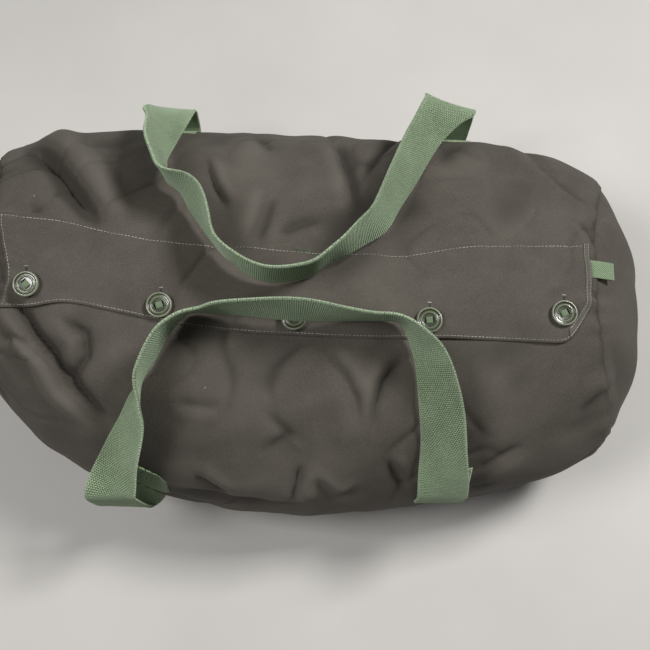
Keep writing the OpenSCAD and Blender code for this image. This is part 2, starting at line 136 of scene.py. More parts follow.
# ---- canvas form
def half_w(s, near):
    """Half width at station s: a waist, gathered in at the end seams and drawn in at the near left."""
    gather = (BAG_W / 2 * (1 - WAIST) - END_W / 2) * np.abs(s) ** GATHER_POW
    base = BAG_W / 2 * (1 - WAIST * s * s) - gather
    return base - np.where(near, NEAR_TUCK * np.maximum(-s, 0) ** TUCK_POW, 0)


def wide_z(s):
    return WIDE_H + WIDE_RISE * s * s


def bow(s):
    """Middle of the bag across: bowed to the far side at the ends, and more on the right."""
    return END_BOW * s * s + SIDE_LEAN * LEAN_PEAK * np.maximum(s, 0) ** 2 * (1 - s)


def mouth_bend(x):
    return MOUTH_BOW * (x / HALF_TOP) ** 2


def mouth_mid(x):
    return MOUTH_Y + mouth_bend(x)


def button_at(k):
    """Place of button k along and across the bag."""
    x = BUTTON_X + (k - 2) * BUTTON_PITCH
    return x, BUTTON_Y + mouth_bend(x)


def skin(s, a):
    """Point of the smooth canvas at station s (-1 to 1) and angle a (0 far side, 90 top, 180 near side):
    a superellipse section, flattened below, lofted along the bag."""
    m, n, c = wide_z(s), np.sin(a), np.cos(a)
    up = m + (BAG_H - m) * np.abs(n) ** CROWN_POW
    down = m - (m + PRESS) * np.abs(n) ** UNDER_POW
    z = np.maximum(0.0, np.where(n >= 0, up, down))
    x = s * (HALF_SIDE - (SIDE_LEN - TOP_LEN) / 2 * n * n)
    return stacked(x, bow(s) + half_w(s, c < 0) * spow(c, SIDE_POW), z)


def angle_at(s, y):
    """Angle on the upper half at which the canvas lies y across."""
    off = y - bow(s)
    return np.arccos(np.clip(spow(off / half_w(s, off < 0), 1 / SIDE_POW), -1, 1))


def side_angle(s, z):
    """Angle on the far side at which the canvas is z high."""
    return np.arcsin(((z - wide_z(s)) / (BAG_H - wide_z(s))) ** (1 / CROWN_POW))


def plain_top(s, y):
    """Point of the smooth crown at station s, y across."""
    return skin(s, angle_at(s, y))


ROUND_A = np.linspace(-np.pi / 2, 3 * np.pi / 2, 2001)
ROUND_Q = run_of(skin(np.zeros_like(ROUND_A), ROUND_A))
ROUND_Q -= np.interp(np.pi / 2, ROUND_A, ROUND_Q)


def girth(a):
    """Distance round the bag from the crown, positive towards the near side."""
    return np.interp(a, ROUND_A, ROUND_Q)


# Each fold: its line as (along, round) points, depth, half width, side of the ridge beside it, sharpness
FOLDS = (
    (((-300, -225), (-278, -150), (-258, -100), (-244, -70), (-226, -40)), 14.0, 12, -1, 1.3),
    (((-292, -70), (-277, -48)), 2.5, 7, -1, 1.6),
    (((-117, -136), (-103, -97), (-88, -70)), 4.5, 5, -1, 1.4),
    (((-36, -92), (-44, -54), (-52, -30)), 4.0, 9, 1, 1.8),
    (((-28, -44), (-6, -56), (18, -64)), 3.0, 7, 1, 1.6),
    (((32, -190), (48, -122), (58, -84)), 6.0, 9, 1, 1.7),
    (((108, -225), (76, -152), (64, -112)), 5.0, 9, -1, 1.7),
    (((230, -232), (262, -160), (292, -132), (318, -116)), 2.4, 8, 1, 1.4),
    (((308, -84), (326, -52)), 3.0, 6, 1, 1.4),
    (((-310, 84), (-277, 114), (-256, 126), (-232, 150), (-213, 160), (-186, 174)), 9.5, 10, 1, 1.4),
    (((-254, 82), (-226, 90), (-220, 113), (-232, 146)), 4.5, 7, 1, 1.5),
    (((-309, 150), (-296, 128), (-262, 134)), 3.0, 5, 1, 1.3),
    (((30, 76), (52, 102), (64, 122), (70, 150)), 3.0, 6, -1, 1.3),
    (((112, 86), (92, 108), (84, 132), (83, 158)), 3.0, 6, 1, 1.3),
    (((98, 190), (116, 236)), 3.8, 6, -1, 1.4),
    (((-122, 139), (-76, 137)), 2.0, 6, 1, 1.5),
    (((-30, 136), (-4, 158), (-32, 180)), 2.2, 7, 1, 1.5),
    (((-98, 218), (-62, 240)), 4.5, 7, -1, 1.4),
    (((9, 192), (3, 236)), 4.5, 6, -1, 1.5),
    (((182, 222), (207, 209), (232, 196)), 3.5, 9, 1, 1.6),
    (((330, 164), (313, 168), (305, 174), (294, 172)), 2.0, 9, 1, 1.6),
    (((24, 192), (50, 222), (68, 212)), -2.2, 7, 1, 1.4),
    (((-60, -210), (-40, -150)), 3.5, 12, 1, 2.0),
    (((160, -200), (150, -130)), 3.0, 14, -1, 2.0),
    (((-150, 250), (-60, 262), (40, 250)), 3.5, 16, -1, 2.0),
    (((-180, -260), (-60, -285), (90, -275)), 4.0, 18, 1, 2.0),
)
# A fold's height over its depth, and its parts: width of the valley, and height, place and width of the ridge
FOLD_GAIN, VALLEY_W, RIDGE_H, RIDGE_AT, RIDGE_W = 1.75, 0.85, 0.5, 1.9, 1.3


def fold_depth(p, q, fold):
    """Height of one fold: a valley along its line, with a lower ridge beside it, fading out at both ends.
    The valley is exp(-(distance / half width) ^ sharpness)."""
    line, depth, wide, side, sharp = fold
    line = np.array(line, float)
    legs = np.linalg.norm(np.diff(line, axis=0), axis=1)
    before = np.concatenate([[0], np.cumsum(legs)])
    best = np.full(p.shape, np.inf)
    signed, along = np.zeros(p.shape), np.zeros(p.shape)
    for k, leg in enumerate(legs):
        d = (line[k + 1] - line[k]) / leg
        rx, ry = p - line[k][0], q - line[k][1]
        t = rx * d[0] + ry * d[1]
        inside = np.clip(t, 0, leg)
        away = np.hypot(rx - inside * d[0], ry - inside * d[1])
        nearer = away < best
        best = np.where(nearer, away, best)
        signed = np.where(nearer, np.sign(d[0] * ry - d[1] * rx) * away, signed)
        along = np.where(nearer, before[k] + t, along)
    total = before[-1]
    fade = ramp(-0.12 * total, 0.3 * total, along) * ramp(1.12 * total, 0.7 * total, along)
    valley = np.exp(-((best / (VALLEY_W * wide)) ** sharp))
    ridge = hill(signed * side, RIDGE_AT * wide, RIDGE_W * wide)
    return FOLD_GAIN * depth * fade * (RIDGE_H * ridge - valley)


def waves(p, q, seed, length, count=14):
    """Sum of sine waves of about one length in random directions, of height about 1."""
    rng = np.random.default_rng(seed)
    turn = rng.uniform(0, np.pi, count)
    k = 2 * np.pi / (length * rng.uniform(0.75, 1.35, count))
    phase = rng.uniform(0, 2 * np.pi, count)
    total = np.zeros(np.shape(p))
    for i in range(count):
        total = total + np.sin(k[i] * (np.cos(turn[i]) * p + np.sin(turn[i]) * q) + phase[i])
    return total / math.sqrt(count)


def creases(p, q):
    """Depth of slack wrinkles: narrow valleys, in patches, where a wave field is nought."""
    depth, wide, sharp = 3.4, 0.16, 1.4
    patch = ramp(-0.4, 1.0, waves(p, q, 61, 230, 8))
    return depth * patch * np.exp(-((np.abs(waves(p, q, 63, 105, 7)) / wide) ** sharp))


def lumps(p, q):
    """Height of the filled canvas over its smooth form: folds, lumps, small waves and creases."""
    h = sum(fold_depth(p, q, fold) for fold in FOLDS)
    for height, seed, length in ((1.8, 3, 190), (1.5, 5, 85), (0.45, 8, 38)):
        h = h + height * waves(p, q, seed, length)
    return h - creases(p, q)


def patch_room(p, q):
    """1 where a handle's end is sewn flat."""
    middle, half_h, half_l = side_angle(0.48, 147.0), 34, 42
    rows = hill(q, girth(middle), half_h) + hill(q, girth(np.pi - middle), half_h)
    return np.clip((hill(p, -END_X, half_l) + hill(p, END_X, half_l)) * rows, 0, 1)


def button_room(p, q):
    """1 where a button pulls the canvas flat."""
    reach = 19
    room = np.zeros(np.shape(p))
    for k in range(5):
        x, y = button_at(k)
        s = x / HALF_TOP
        at = girth(angle_at(s, y + BUTTON_D / 4))
        room = np.maximum(room, np.exp(-(((p - s * HALF_SIDE) / reach) ** 4) - ((q - at) / reach) ** 4))
    return room


def crown_normal(s, a):
    """Outward direction of the smooth canvas, taken a little inside the end seams."""
    e, last = 1e-3, 0.985
    s = np.clip(s, -last, last)
    along = skin(s + e, a) - skin(s - e, a)
    around = skin(s, a + e) - skin(s, a - e)
    return unit(np.cross(around, along))


def canvas(s, a, lift=0.0):
    """Point of the folded canvas, lift above it, and its lumps: the smooth form moved along its outward
    direction by the lumps, which die away near the floor and are flat under the handle ends and buttons.
    The end seam is drawn in and puckered."""
    patch_h, button_h, seam_depth, seam_w, pucker_h, pucker_l = -0.8, -1.0, 3.0, 4.5, 1.1, 20
    s, a = np.broadcast_arrays(np.asarray(s, float), np.asarray(a, float))
    base = skin(s, a)
    p, q = s * HALF_SIDE, girth((a + np.pi / 2) % (2 * np.pi) - np.pi / 2)
    h = mix(lumps(p, q), patch_h, patch_room(p, q))
    h = mix(h, button_h, button_room(p, q))
    to_seam = (1 - np.abs(s)) * HALF_SIDE
    puckers = waves(0 * p, q, 21, 42, 6) + waves(0.3 * p, q, 23, 26, 6)
    h = h - seam_depth * hill(to_seam, 0, seam_w) + pucker_h * puckers * np.exp(-to_seam / pucker_l)
    h = h * ramp(2, 46, base[..., 2])
    moved = base + crown_normal(s, a) * (h + lift)[..., None]
    moved[..., 0] -= LEFT_LEAN * ramp(-0.6, -1, s) * ramp(-25, 45, base[..., 1])
    moved[..., 2] = np.maximum(moved[..., 2], FLOOR_GAP)
    return moved, h


def on_crown(x, y, lift):
    """Point of the folded canvas over (x, y), lift above it, and the outward direction there."""
    s = x / HALF_TOP
    a = angle_at(s, y)
    return canvas(s, a, lift)[0], crown_normal(s, a)


# ---- meshes
def grid_faces(rows, cols, wrap=False):
    """Quads of a grid of rows x cols points."""
    index = np.arange(rows * cols).reshape(rows, cols)
    following = np.roll(index, -1, axis=1)
    quads = np.stack([index[:-1], following[:-1], following[1:], index[1:]], -1)
    return (quads if wrap else quads[:, :-1]).reshape(-1, 4)


def fan(ring, pole):
    """Triangles from a ring of points to one point."""
    return np.stack([ring, np.roll(ring, -1), np.full(len(ring), pole)], -1)


def add_object(name, data):
    ob = bpy.data.objects.new(name, data)
    bpy.context.scene.collection.objects.link(ob)
    return ob


def signed_volume(v, faces):
    quads = np.array([f for f in faces if len(f) == 4])
    a, b, c, d = (v[quads[:, k]] for k in range(4))
    return float((np.cross(a, b) * c).sum() + (np.cross(a, c) * d).sum())


def make(name, points, faces, material, uv=None, values=None, weld=False, thick=0.0):
    """Mesh object from points in millimetres. A closed mesh is turned so that its faces point outwards, and an
    open sheet is given its thickness, inwards."""
    v = np.asarray(points, float).reshape(-1, 3)
    faces = [tuple(int(i) for i in f) for f in faces]
    if not thick and signed_volume(v - v.mean(0), faces) < 0:
        faces = [f[::-1] for f in faces]
    me = bpy.data.meshes.new(name)
    me.from_pydata((v * MM).tolist(), [], faces)
    if uv is not None:
        loops = np.zeros(len(me.loops), np.int32)
        me.loops.foreach_get("vertex_index", loops)
        places = np.asarray(uv, float).reshape(-1, 2)[loops] * MM
        me.uv_layers.new(name="cloth").data.foreach_set("uv", places.astype(np.float32).ravel())
    for key, value in (values or {}).items():
        layer = me.attributes.new(key, "FLOAT", "POINT")
        layer.data.foreach_set("value", np.asarray(value, np.float32).ravel())
    if weld:
        bm = bmesh.new()
        bm.from_mesh(me)
        bmesh.ops.remove_doubles(bm, verts=bm.verts, dist=0.02 * MM)
        bm.to_mesh(me)
        bm.free()
    me.shade_smooth()
    me.materials.append(material)
    ob = add_object(name, me)
    if thick:
        ob.modifiers.new("thickness", "SOLIDIFY").thickness = thick * MM
    return ob


def slab(outer, inner):
    """Points and faces of the closed solid between two grids."""
    rows, cols = outer.shape[:2]
    size = rows * cols
    index = np.arange(size).reshape(rows, cols)
    top = grid_faces(rows, cols)
    ring = np.concatenate([index[0], index[1:, -1], index[-1, -2::-1], index[-2:0:-1, 0]])
    following = np.roll(ring, -1)
    side = np.stack([following, ring, ring + size, following + size], -1)
    faces = np.concatenate([top, top[:, ::-1] + size, side])
    return np.concatenate([outer.reshape(-1, 3), inner.reshape(-1, 3)]), faces


def slab_piece(name, outer, inner, material, uv=None, weld=False, **values):
    """Closed solid between two grids. Both faces have the same uv, and each value is given for both."""
    shape = outer.shape[:2]
    values = {key: np.stack([np.broadcast_to(v, shape) for v in pair]) for key, pair in values.items()}
    return make(name, *slab(outer, inner), material, uv=None if uv is None else np.stack([uv, uv]),
                values=values, weld=weld)


def web_profile(width, thick):
    """Closed outline of webbing: flat faces, with a fuller rounded selvedge at both edges."""
    count, half, rounded = 25, width / 2, 0.6 * thick
    u = spow(np.concatenate([np.linspace(-1, 1, count), np.linspace(1, -1, count)]), 0.8)
    side = np.repeat([1.0, -1.0], count)
    edge = np.sqrt(1 - slope(half - rounded, half, np.abs(u) * half) ** 2)
    swell = 1 + 0.3 * hill(np.abs(u), 0.945, 0.035)
    return u * half, side * thick / 2 * edge * swell


def ribbon(name, middles, across, normals, material, width=WEB_W, thick=2.8, scallop=0.4):
    """Webbing along a path: its outline at each station, across along one direction and thick along
    another. The selvedge is scalloped by its weft loops."""
    run = run_of(middles)
    u, v = web_profile(width, thick)
    to_edge = width / 2 - np.abs(u)
    loops = scallop * np.sin(2 * np.pi * run / WEFT)
    wide = u + np.sign(u) * slope(1.5, 0, to_edge) * loops[:, None]
    pts = middles[:, None] + across[:, None] * wide[..., None] + normals[:, None] * v[:, None]
    n, m = len(middles), len(u)
    faces = grid_faces(n, m, wrap=True).tolist()
    for ring in (0, (n - 1) * m):
        caps = [(ring + k, ring + k + 1, ring + m - 2 - k, ring + m - 1 - k) for k in range(m // 2 - 1)]
        faces += caps if ring else [c[::-1] for c in caps]
    uv = stacked(run[:, None], u + np.where(v > 0, 0, width * 1.5))
    # Selvedge mask, where the webbing's colour paints a highlight
    rim = np.broadcast_to(slope(2.8, 0.4, to_edge), (n, m))
    return make(name, pts, faces, material, uv=uv, values={"selvedge": rim})


def resample(points, step):
    """The path at even steps, all columns interpolated along its first three."""
    run = run_of(points[:, :3])
    at = np.linspace(0, run[-1], max(2, int(round(run[-1] / step)) + 1))
    return np.stack([np.interp(at, run, column) for column in points.T], -1)


def spline(rows, cuts=20):
    """Smooth curve through rows: a Catmull-Rom cubic between each pair."""
    p = np.concatenate([rows[:1], rows, rows[-1:]])
    t = np.linspace(0, 1, cuts, endpoint=False)[:, None]
    parts = []
    for a, b, c, d in zip(p, p[1:], p[2:], p[3:]):
        parts.append(b + (c - a) * t / 2 + (2 * a - 5 * b + 4 * c - d) * t * t / 2
                     + (3 * b - a - 3 * c + d) * t ** 3 / 2)
    return np.concatenate([*parts, rows[-1:]])


def smoothed(rows, count):
    """Moving average of rows under a bell of count samples. Both ends stay put."""
    half = count // 2
    head = 2 * rows[:1] - rows[half:0:-1]
    tail = 2 * rows[-1:] - rows[-2:-half - 2:-1]
    bell = np.hanning(2 * half + 3)[1:-1]
    rows = np.concatenate([head, rows, tail])
    return np.stack([np.convolve(column, bell / bell.sum(), "valid") for column in rows.T], -1)


def stitch_row(name, path, out, material, pitch=3.6, length=2.7, radius=0.36):
    """Row of stitches along a path on cloth: short capsules, sunk at both ends."""
    step, n_sides, n_rings = 0.4, 6, 6
    both = resample(np.concatenate([path, out], -1), step)
    count = max(1, int((len(both) - 1) * step / pitch))
    at = np.round((np.arange(count) + 0.5) * pitch / step).astype(int).clip(1, len(both) - 2)
    middle, n = both[at, :3], unit(both[at, 3:])
    t = unit(both[at + 1, :3] - both[at - 1, :3])
    b = np.cross(n, t)
    along = np.linspace(-1, 1, n_rings)[:, None]
    turn = np.arange(n_sides) * 2 * np.pi / n_sides
    fat = np.sqrt(np.clip(1 - along ** 4, 0.02, 1)) * radius
    place = (along * length / 2 + 0 * turn, fat * np.cos(turn), fat * np.sin(turn) - 0.35 * radius * along ** 2)
    pts = middle[:, None, None] + sum(d[:, None, None] * c[..., None] for d, c in zip((t, b, n), place))
    caps = [[0, 1, 2, 3], [0, 3, 4, 5], [33, 32, 31, 30], [35, 34, 33, 30]]
    one = np.concatenate([grid_faces(n_rings, n_sides, wrap=True), caps])
    faces = (one + n_rings * n_sides * np.arange(count)[:, None, None]).reshape(-1, 4)
    return make(name, pts, faces, material)


# ---- materials
def srgb(r, g, b):
    """Colour from 0-255 display values."""
    c = np.array([r, g, b]) / 255
    return (*np.where(c <= 0.04045, c / 12.92, ((c + 0.055) / 1.055) ** 2.4).tolist(), 1.0)


class Finish:
    """A node material. An input given as a value is set, and one given as an output is linked."""

    def __init__(self, name):
        self.material = bpy.data.materials.new(name)
        self.material.use_nodes = True
        self.tree = self.material.node_tree
        self.tree.nodes.clear()
        self.out = self.tree.nodes.new("ShaderNodeOutputMaterial")
        self.place = self.add("TexCoord").outputs["Object"]

    def add(self, kind, inputs=None, **props):
        node = self.tree.nodes.new("ShaderNode" + kind)
        for key, value in props.items():
            setattr(node, key, value)
        for key, value in (inputs or {}).items():
            if isinstance(value, bpy.types.NodeSocket):
                self.tree.links.new(value, node.inputs[key])
            elif value is not None:
                node.inputs[key].default_value = value
        return node

    def math(self, op, a, b=0.0, clamp=False):
        return self.add("Math", {0: a, 1: b}, operation=op, use_clamp=clamp).outputs[0]

    def times(self, a, b):
        return self.math("MULTIPLY", a, b)

    def plus(self, a, b, clamp=False):
        return self.math("ADD", a, b, clamp)

    def blend(self, share, a, b):
        return self.add("Mix", {"Factor": share, 6: a, 7: b}, data_type="RGBA").outputs[2]

    def tint(self, colour, share, most, tone):
        """Colour with a tone over it, at most that much of it."""
        return self.blend(self.times(share, most), colour, tone)

    def noise(self, scale, detail, rough=0.55, vector=None):
        return self.add("TexNoise", {"Vector": vector or self.place, "Scale": scale, "Detail": detail,
                                     "Roughness": rough}).outputs["Fac"]

    def streaks(self, vector, scales, detail):
        """Noise drawn out along one axis."""
        return self.noise(1.0, detail, vector=self.add("Mapping", {"Vector": vector, "Scale": scales}).outputs[0])

    def span(self, value, low, high, to_low=0.0, to_high=1.0):
        return self.add("MapRange", {"Value": value, "From Min": low, "From Max": high, "To Min": to_low,
                                     "To Max": to_high}, interpolation_type="SMOOTHSTEP").outputs["Result"]

    def attribute(self, name):
        return self.add("Attribute", attribute_name=name).outputs["Fac"]

    def wave(self, value, period):
        """Sine of a length, from -1 to 1."""
        return self.math("SINE", self.times(value, 2 * math.pi / period))

    def cloth_place(self):
        uv = self.add("UVMap", uv_map="cloth").outputs["UV"]
        parts = self.add("SeparateXYZ", {"Vector": uv})
        return uv, parts.outputs["X"], parts.outputs["Y"]

    def bump(self, height, distance, strength, normal=None):
        return self.add("Bump", {"Height": height, "Distance": distance, "Strength": strength,
                                 "Normal": normal}).outputs["Normal"]

    def surface(self, colour, rough, normal=None, **fixed):
        inputs = {"Base Color": colour, "Roughness": rough, "Normal": normal}
        inputs.update((key.replace("_", " "), value) for key, value in fixed.items())
        shader = self.add("BsdfPrincipled", inputs)
        self.tree.links.new(shader.outputs[0], self.out.inputs["Surface"])
        return self.material


def canvas_finish(name, light, dark, pale_wear_and_highlight):
    """Plain-weave canvas: fine over-and-under threads, soft mottling and specks of lint, with ridges painted
    paler as wear and highlight, and valleys painted darker as shade."""
    f = Finish(name)
    uv, u, v = f.cloth_place()
    thread = 0.0016
    over = f.times(f.wave(u, thread), f.wave(v, thread))
    slub = f.streaks(uv, (260.0, 2600.0, 1.0), 2.0)
    mottle, fine = f.noise(9.0, 4.0), f.noise(900.0, 2.0)
    patchy, ridge = f.noise(42.0, 5.0, 0.6), f.attribute("ridge")
    lint = f.add("TexVoronoi", {"Vector": f.place, "Scale": 46.0, "Randomness": 1.0}).outputs["Distance"]
    speck = f.times(f.span(lint, 0.05, 0.02), f.span(f.noise(17.0, 1.0), 0.6, 0.7))
    # deep is a darker tone: random dark mottling, and the painted shade in valleys
    deep = tuple(0.5 * c for c in dark[:3]) + (1.0,)
    colour = f.blend(f.span(mottle, 0.3, 0.7), dark, light)
    # Random mottling, slubs and lint; then, by the ridge attribute, painted highlight with wear on ridges and
    # painted shade in valleys
    for share, most, tone in (
            (f.span(patchy, 0.5, 0.72), 0.14, pale_wear_and_highlight), (f.span(patchy, 0.5, 0.28), 0.14, deep),
            (f.span(fine, 0.35, 0.7), 0.34, pale_wear_and_highlight), (f.span(slub, 0.5, 0.75), 0.16, pale_wear_and_highlight),
            (f.span(ridge, 0.15, 1.0), 0.4, pale_wear_and_highlight), (f.span(ridge, -0.1, -1.0), 0.65, deep),
            (speck, 0.5, srgb(188, 186, 178))):
        colour = f.tint(colour, share, most, tone)
    grain = f.bump(fine, 0.0005, 0.35, f.bump(over, 0.00016, 0.55))
    return f.surface(colour, f.span(mottle, 0.2, 0.8, 0.78, 0.9), grain, Sheen_Weight=0.04,
                     Sheen_Roughness=0.45, Sheen_Tint=(0.82, 0.8, 0.76, 1.0), Specular_IOR_Level=0.3)


def webbing_finish(name, light, dark, edge):
    """Coarse cotton webbing: rows of staggered pale weft bumps over darker warp, each a sine along times a
    sine across, and a painted highlight along both selvedges, broken by their weft loops."""
    f = Finish(name)
    u, v = f.cloth_place()[1:]
    warp, row = 0.0026, 0.00195
    bumps, rows = f.times(f.wave(v, warp), f.wave(u, 2 * row)), f.wave(u, row)
    fuzz, broad = f.noise(900.0, 2.0), f.noise(26.0, 3.0)
    share = f.plus(f.plus(f.times(bumps, 0.5), f.times(rows, 0.34)), 0.42)
    share = f.plus(share, f.times(f.plus(fuzz, -0.5), 1.5))
    share = f.plus(share, f.times(f.plus(broad, -0.5), 0.7), clamp=True)
    # Painted highlight along the selvedges: edge is its pale tone, in the pitch of the weft loops
    loop = f.span(f.wave(u, WEFT * MM), -0.3, 0.7, 0.35, 1.0)
    colour = f.tint(f.blend(share, dark, light), f.times(f.attribute("selvedge"), loop), 0.75, edge)
    height = f.plus(bumps, f.times(rows, 0.8))
    normal = f.bump(fuzz, 0.0006, 0.3, f.bump(height, 0.0004, 0.85))
    return f.surface(colour, 0.88, normal, Sheen_Weight=0.55, Sheen_Roughness=0.5,
                     Sheen_Tint=(0.75, 0.9, 0.68, 1.0), Specular_IOR_Level=0.25)


def button_finish():
    """Glossy olive plastic: cloudy, with grooves painted dark as shade, a rim rubbed and painted paler as a
    highlight, and fine scuffs.
    """
    f = Finish("olive_plastic")
    scuff = f.streaks(f.place, (900.0, 3200.0, 900.0), 3.0)
    colour = f.blend(f.span(f.noise(130.0, 4.0), 0.3, 0.7), srgb(58, 64, 46), srgb(84, 90, 67))
    # Painted shade in the grooves
    colour = f.tint(colour, f.attribute("groove"), 0.85, srgb(26, 28, 21))
    # Paler rim: rubbed wear, and a painted highlight
    colour = f.tint(colour, f.attribute("rim"), f.span(scuff, 0.3, 0.55, 0.3, 1.0), srgb(136, 139, 119))
    normal = f.bump(f.noise(420.0, 3.0), 0.0003, 0.25)
    return f.surface(colour, f.span(scuff, 0.35, 0.7, 0.2, 0.36), normal, Specular_IOR_Level=0.5,
                     Coat_Weight=0.5, Coat_Roughness=0.12)


def thread_finish(name, light, dark):
    """Twisted sewing thread, soiled in places."""
    f = Finish(name)
    colour = f.blend(f.span(f.noise(30.0, 3.0), 0.35, 0.65), dark, light)
    return f.surface(colour, 0.8, f.bump(f.noise(2600.0, 2.0), 0.0003, 0.5), Sheen_Weight=0.2)


def tape_finish(name, light, dark, twill_w):
    """Tape: twill lines over soft mottling."""
    f = Finish(name)
    u, v = f.cloth_place()[1:]
    twill, fuzz = f.wave(f.plus(u, v), twill_w), f.noise(1200.0, 2.0)
    colour = f.blend(f.plus(f.times(twill, 0.42), fuzz, clamp=True), dark, light)
    return f.surface(colour, 0.86, f.bump(f.plus(twill, fuzz), 0.0003, 0.7), Sheen_Weight=0.2)


# A canvas's last tone is pale: wear, slubs, and the painted highlight on ridges
CANVAS = canvas_finish("canvas", srgb(79, 74, 67), srgb(66, 61, 54), srgb(102, 97, 89))
FACING = canvas_finish("facing_canvas", srgb(72, 67, 61), srgb(61, 57, 52), srgb(90, 85, 79))
# The webbing's last tone is the painted highlight on its selvedges
WEBBING = webbing_finish("webbing", srgb(166, 187, 150), srgb(60, 78, 50), srgb(172, 188, 158))
TAPE = tape_finish("button_tape", srgb(126, 144, 112), srgb(78, 96, 68), 0.0016)
TAB_TAPE = tape_finish("tab_tape", srgb(150, 170, 134), srgb(54, 74, 46), 0.002)
BINDING = tape_finish("binding_tape", srgb(84, 100, 72), srgb(52, 64, 46), 0.0016)
PLASTIC = button_finish()
PALE_THREAD = thread_finish("pale_thread", srgb(176, 173, 165), srgb(128, 124, 117))
DARK_THREAD = thread_finish("dark_thread", srgb(92, 88, 82), srgb(64, 61, 57))
GREEN_THREAD = thread_finish("green_thread", srgb(84, 108, 74), srgb(44, 60, 38))
SHADE = thread_finish("slit_shade", srgb(34, 32, 30), srgb(22, 21, 20))


# ---- bag
def ridge_of(h):
    """Share from -1 in a valley to 1 on a ridge. The canvas colour uses it to paint shade in valleys and highlight
    on ridges.
    """
    return np.clip(h / 6, -1, 1)


def bag_body():
    """Side wall: stations along the bag by angles from the near edge of the mouth down, under and up to its
    far edge. Past the ends of the mouth the two edges meet and are welded. The angles are wider apart below."""
    rows, cols, mouth_round = 205, 213, 8
    s = np.linspace(-1, 1, rows)[:, None]
    even = np.linspace(0, 1, 2001)
    wide = 1 + 2.4 * hill(even, 0.5, 0.14)
    t = np.interp(np.linspace(0, 1, cols), np.cumsum(1 / wide) / np.sum(1 / wide), even)
    t = ((t - t[0]) / (t[-1] - t[0]))[None, :]
    x = s * HALF_TOP
    past = slope(MOUTH_LEN / 2 - mouth_round, MOUTH_LEN / 2, np.abs(x))
    gape = MOUTH_W / 2 * np.sqrt(1 - past ** 2)
    near, far = (angle_at(s, mouth_mid(x) + side * gape) for side in (NEAR, FAR))
    pts, h = canvas(s, near + (2 * np.pi + far - near) * t)
    hem_drop, hem_w = 0.9, 3
    pts[..., 2] -= hem_drop * hill(np.minimum(t, 1 - t) * ROUND_LEN, 0, hem_w) * (gape > 1)
    return make("bag_body", pts, grid_faces(rows, cols)[:, ::-1], CANVAS, uv=stacked(s * HALF_SIDE, ROUND_LEN * t),
                values={"ridge": ridge_of(h)}, weld=True, thick=CANVAS_T)


def bag_end(side):
    """Domed end: rings from the edge of the side wall, whose puckers die out inwards, to the middle of the
    dome, with a soft roll inside the seam."""
    n, rings, dome_r, pucker_l, roll_h, half_bell = 212, 46, 120, 12, 3.0, 15
    a = np.linspace(0, 2 * np.pi, n, endpoint=False)[None, :]
    rim = canvas(float(side), a)[0]
    r = (1 - np.linspace(0, 1, rings) ** 1.25 * 0.985)[:, None]
    inward = (1 - r) * dome_r
    bell = np.hanning(2 * half_bell + 3)
    bell = bell[1:-1] / bell.sum()
    even = sum(b * np.roll(rim, k - half_bell, axis=1) for k, b in enumerate(bell))
    rim = mix(even, rim, np.exp(-inward / pucker_l)[..., None])
    tip = BAG_LEN / 2 - 4
    x = side * (tip - (tip - np.abs(rim[..., 0])) * r ** DOME_POW)
    y, z = mix(bow(1.0), rim[..., 1], r), mix(DOME_H, rim[..., 2], r)
    roll = roll_h * (1 - hill(inward, 0, 6)) * np.exp(-inward / 60)
    out = unit(stacked(side * 0.7, (y - bow(1.0)) / dome_r, (z - DOME_H) / dome_r))
    h = 1.5 * waves(y, z, 31 + side, 130) + waves(y, z, 33 + side, 60)
    spokes = waves(0 * y, a * 150 + 0 * y, 41 + side, 60, 8) * np.exp(-inward / 26) * 0.7
    h = (h + spokes) * ramp(0, 14, inward) * ramp(6, 50, z)
    pts = stacked(x, y, z) + out * (roll * ramp(2, 40, z) + h)[..., None]
    pts[..., 2] = np.maximum(pts[..., 2], FLOOR_GAP)
    faces = grid_faces(rings, n, wrap=True)
    middle = fan((rings - 1) * n + np.arange(n), rings * n)
    if side == LEFT:
        faces, middle = faces[:, ::-1], middle[:, ::-1]
    pts = np.concatenate([pts.reshape(-1, 3), pts[-1].mean(0)[None]])
    return make(f"bag_end_{END_NAME[side]}", pts, [*faces, *middle], CANVAS, uv=pts[:, 1:],
                values={"ridge": np.append(ridge_of(h), 0)}, thick=CANVAS_T)


def end_tape(side):
    """Tape round the turned-in seam edges: a flat ring just inside the end seam."""
    a = np.linspace(0, 2 * np.pi, 121)
    rim = canvas(float(side), a)[0]
    inward = unit(stacked(0, bow(1.0) - rim[:, 1], DOME_H - rim[:, 2]))
    deep = np.array([3.5, 6.5, 10.0, 13.5])[:, None]
    face = rim + inward * deep[..., None]
    return slab_piece(f"end_tape_{END_NAME[side]}", face - [side * 1.5, 0, 0], face - [side * 4.2, 0, 0], BINDING,
                      uv=stacked(a * 150, deep), weld=True)


def stand_strip():
    """Strip inside the near edge of the mouth that the buttons are sewn through."""
    x = np.linspace(-MOUTH_LEN / 2, MOUTH_LEN / 2, 120)[:, None]
    y = mouth_mid(x) - MOUTH_W / 2 - STAND_W * np.linspace(0, 1, 14)
    outer, inner = (on_crown(x + 0 * y, y, -CANVAS_T - under)[0] for under in (0.5, 1.7))
    return slab_piece("button_strip", outer, inner, FACING, uv=stacked(x, y), ridge=(0, 0))


